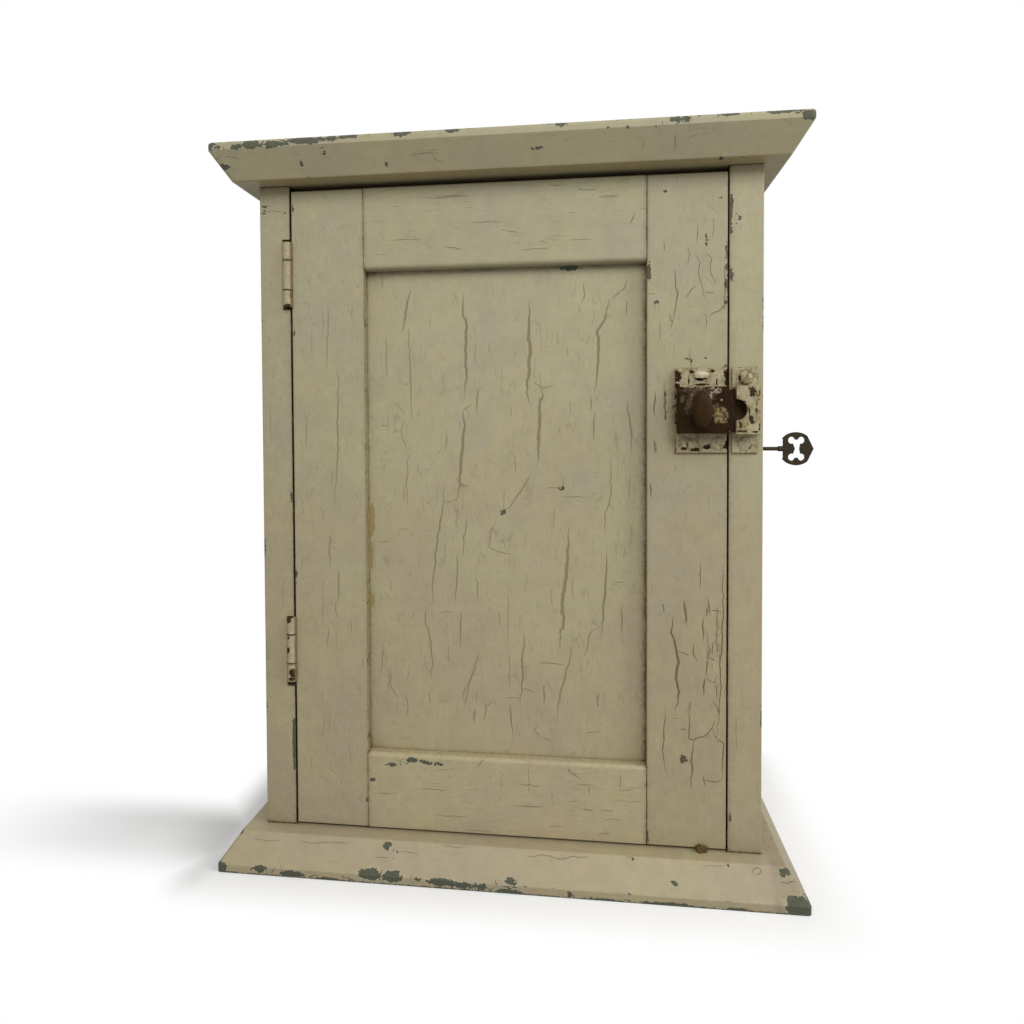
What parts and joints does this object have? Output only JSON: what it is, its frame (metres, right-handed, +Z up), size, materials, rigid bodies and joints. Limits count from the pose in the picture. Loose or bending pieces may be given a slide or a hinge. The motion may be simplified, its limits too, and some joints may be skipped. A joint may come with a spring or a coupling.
{
  "type": "storage cabinet",
  "caption": "Small painted pine cupboard with splayed top and base boards, a framed and panelled door on butt hinges, a surface latch and a side lock with its key.",
  "frame": {"origin": "middle of the underside of the base board", "axes": "+X to the right seen from the front, +Y towards the back, +Z up; the door faces -Y"},
  "size_m": [0.4186, 0.222, 0.51],
  "materials": {
    "paint": "old cream paint, crackled",
    "painted_iron": "old cream paint, chipped",
    "brown_iron": "brown patina",
    "steel": "dull and browned"
  },
  "bodies": {
    "carcass": {"back_board_1": "paint", "back_board_2": "paint", "back_board_3": "paint", "back_board_4": "paint", "base_board": "paint", "door_stop": "paint", "hinge_leaf_fixed_lower": "painted_iron", "hinge_leaf_fixed_upper": "painted_iron", "hinge_pin_lower": "steel", "hinge_pin_upper": "steel", "keep_screw_bottom": "painted_iron", "keep_screw_top": "painted_iron", "latch_keep": "painted_iron", "lock_cap": "steel", "lock_case": "steel", "lock_spring": "steel", "shelf_batten_lower_left": "paint", "shelf_batten_lower_right": "paint", "shelf_batten_upper_left": "paint", "shelf_batten_upper_right": "paint", "shelf_lower": "paint", "shelf_upper": "paint", "side_left": "paint", "side_right": "paint", "top_board": "paint"},
    "door": {"door_panel": "paint", "door_rail_bottom": "paint", "door_rail_top": "paint", "door_stile_left": "paint", "door_stile_right": "paint", "hinge_leaf_door_lower": "painted_iron", "hinge_leaf_door_upper": "painted_iron", "latch_case": "brown_iron", "latch_spring": "steel", "link_plate": "steel", "latch_screw_bottom_left": "painted_iron", "latch_screw_bottom_right": "painted_iron", "latch_screw_top": "painted_iron"},
    "latch_knob": {"latch_knob": "brown_iron"},
    "latch_bolt": {"latch_bolt": "brown_iron"},
    "key": {"key": "steel"},
    "lock_bolt": {"lock_bolt": "steel"}
  },
  "joints": [
    {"name": "door_swing", "type": "hinge", "parent": "carcass", "child": "door", "pos_m": [-0.1542, -0.0858, 0.28765], "axis": [0, 0, -1], "range_deg": [0, 170]},
    {"name": "latch_turn", "type": "hinge", "parent": "door", "child": "latch_knob", "pos_m": [0.1325, -0.097, 0.3235], "axis": [0, 1, 0], "range_deg": [0, 51]},
    {"name": "latch_bolt_slide", "type": "slide", "parent": "door", "child": "latch_bolt", "axis": [1, 0, 0], "range_m": [0, 0.0073]},
    {"name": "key_turn", "type": "hinge", "parent": "carcass", "child": "key", "pos_m": [0.1522, -0.047, 0.2967], "axis": [-1, 0, 0], "range_deg": [0, 180]},
    {"name": "lock_bolt_slide", "type": "slide", "parent": "carcass", "child": "lock_bolt", "axis": [0, 0, 1], "range_m": [0, 0.009]}
  ],
  "couplings": [
    {"joint": "latch_turn", "follows": "latch_bolt_slide", "rad_per_m": 121.5},
    {"joint": "key_turn", "follows": "lock_bolt_slide", "rad_per_m": 349}
  ]
}
